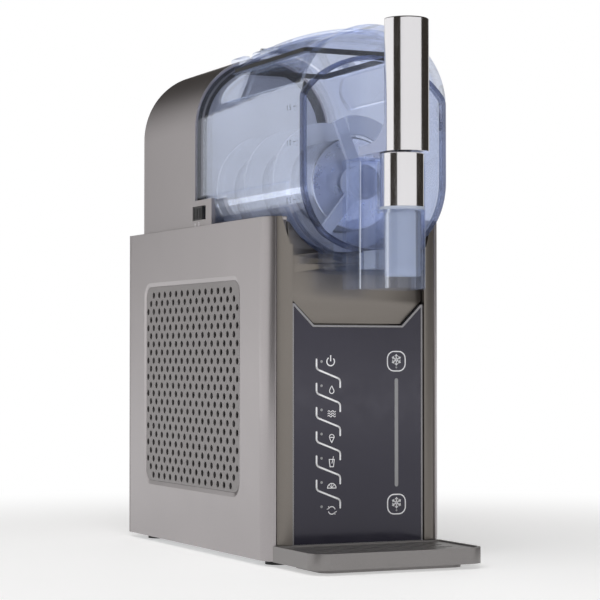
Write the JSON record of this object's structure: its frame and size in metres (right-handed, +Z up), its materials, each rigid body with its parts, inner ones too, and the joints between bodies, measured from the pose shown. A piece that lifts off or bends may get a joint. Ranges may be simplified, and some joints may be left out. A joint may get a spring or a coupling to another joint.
{
  "type": "slushie machine",
  "caption": "Counter-top frozen drink machine: grey body with touch panel, clear horizontal vessel over a chilled drum and auger, lever tap and drip tray.",
  "frame": {"origin": "on the table plane under the middle of the machine's outline", "axes": "+Z up; -Y to the front, where the control panel and tap are; +X to the right as seen from the front"},
  "size_m": [0.168, 0.445, 0.4645],
  "materials": {
    "body_silver": "satin warm grey metallic",
    "panel_rim": "satin grey",
    "panel_glass": "dark glossy touch glass",
    "grille_metal": "satin grey, punched",
    "clear_blue": "clear with a light blue tint",
    "black_rubber": "matte",
    "auger_white": "translucent white",
    "valve_white": "translucent white",
    "stainless": "brushed",
    "bright_chrome": "polished",
    "tray_grey": "satin warm grey",
    "latch_grey": "ribbed dark grey",
    "inner_grey": "light grey",
    "black_plastic": "fine texture",
    "filter_foam": "open-cell foam",
    "copper": "bright copper",
    "brass": "plain",
    "black_steel": "gloss black",
    "motor_steel": "zinc plated",
    "fin_aluminium": "mill finish",
    "gear_plastic": "natural nylon",
    "circuit_green": "lacquered board",
    "light_white": "diffusing",
    "zinc_steel": "zinc plated sheet"
  },
  "bodies": {
    "chassis": {"base_pan": "zinc_steel", "feet": "black_rubber", "front_frame": "body_silver", "front_plate": "body_silver", "panel_bezel": "panel_rim", "control_glass": "panel_glass", "control_board": "circuit_green", "status_lights": "light_white", "left_cover": "body_silver", "right_cover": "body_silver", "left_grille": "grille_metal", "right_grille": "grille_metal", "air_filters": "filter_foam", "rear_cover": "body_silver", "rear_screws": "stainless", "mains_inlet": "black_plastic", "inlet_pins": "brass", "top_deck": "body_silver", "head_shell": "body_silver", "head_bulkhead": "inner_grey", "vessel_gasket": "black_rubber", "evaporator_drum": "stainless", "shaft_seal": "black_rubber", "front_bush": "gear_plastic", "gearbox_housing": "fin_aluminium", "gear_motor": "motor_steel", "compressor": "black_steel", "compressor_mounts": "black_rubber", "condenser": "fin_aluminium", "fan_shroud": "black_plastic", "fan_motor": "motor_steel", "filter_drier": "copper", "refrigerant_lines": "copper", "power_board": "circuit_green"},
    "drive": {"drive_shaft": "stainless", "output_gear": "gear_plastic", "auger": "auger_white", "auger_nose": "auger_white"},
    "pinion": {"motor_pinion": "motor_steel"},
    "fan": {"fan_blades": "black_plastic"},
    "vessel": {"vessel_body": "clear_blue", "front_window": "clear_blue", "window_seal": "clear_blue", "spout_hood": "clear_blue", "valve_body": "valve_white", "bonnet_ring": "valve_white", "tap_bonnet": "bright_chrome", "tap_bracket": "bright_chrome", "tap_pin": "stainless", "lid_pin": "stainless", "tap_spring": "stainless"},
    "handle": {"tap_handle": "bright_chrome"},
    "plunger": {"tap_plunger": "valve_white", "plunger_rings": "black_rubber"},
    "lid": {"fill_lid": "clear_blue", "lid_seal": "black_rubber"},
    "lock_left": {"left_latch": "latch_grey"},
    "lock_right": {"right_latch": "latch_grey"},
    "tray": {"drip_tray": "tray_grey"},
    "grid": {"drip_grid": "tray_grey"}
  },
  "joints": [
    {"name": "vessel_slide", "type": "slide", "parent": "chassis", "child": "vessel", "axis": [0, -1, 0], "range_m": [0, 0.24]},
    {"name": "auger_spin", "type": "hinge", "parent": "chassis", "child": "drive", "pos_m": [0, 0, 0.326], "axis": [0, 1, 0], "continuous": true},
    {"name": "pinion_spin", "type": "hinge", "parent": "chassis", "child": "pinion", "pos_m": [0, 0, 0.371], "axis": [0, 1, 0], "continuous": true},
    {"name": "fan_spin", "type": "hinge", "parent": "chassis", "child": "fan", "pos_m": [0, 0.1045, 0.145], "axis": [1, 0, 0], "continuous": true},
    {"name": "tap_tilt", "type": "hinge", "parent": "vessel", "child": "handle", "pos_m": [0, -0.1615, 0.3485], "axis": [-1, 0, 0], "range_deg": [0, 16], "stiffness_Nm_per_rad": 3, "springref_deg": -5.73},
    {"name": "plunger_lift", "type": "slide", "parent": "vessel", "child": "plunger", "axis": [0, 0, 1], "range_m": [0, 0.0098], "deforming": ["tap_spring"]},
    {"name": "lid_hinge", "type": "hinge", "parent": "vessel", "child": "lid", "pos_m": [0, 0.0535, 0.461], "axis": [-1, 0, 0], "range_deg": [0, 80]},
    {"name": "left_lock_slide", "type": "slide", "parent": "chassis", "child": "lock_left", "axis": [0, -1, 0], "range_m": [0, 0.009]},
    {"name": "right_lock_slide", "type": "slide", "parent": "chassis", "child": "lock_right", "axis": [0, -1, 0], "range_m": [0, 0.009]},
    {"name": "tray_slide", "type": "slide", "parent": "chassis", "child": "tray", "axis": [0, -1, 0], "range_m": [0, 0.09]},
    {"name": "grid_lift", "type": "slide", "parent": "tray", "child": "grid", "axis": [0, 0, 1], "range_m": [0, 0.03]}
  ],
  "couplings": [
    {"joint": "pinion_spin", "follows": "auger_spin", "ratio": -4},
    {"joint": "plunger_lift", "follows": "tap_tilt", "m_per_rad": 0.0346}
  ]
}
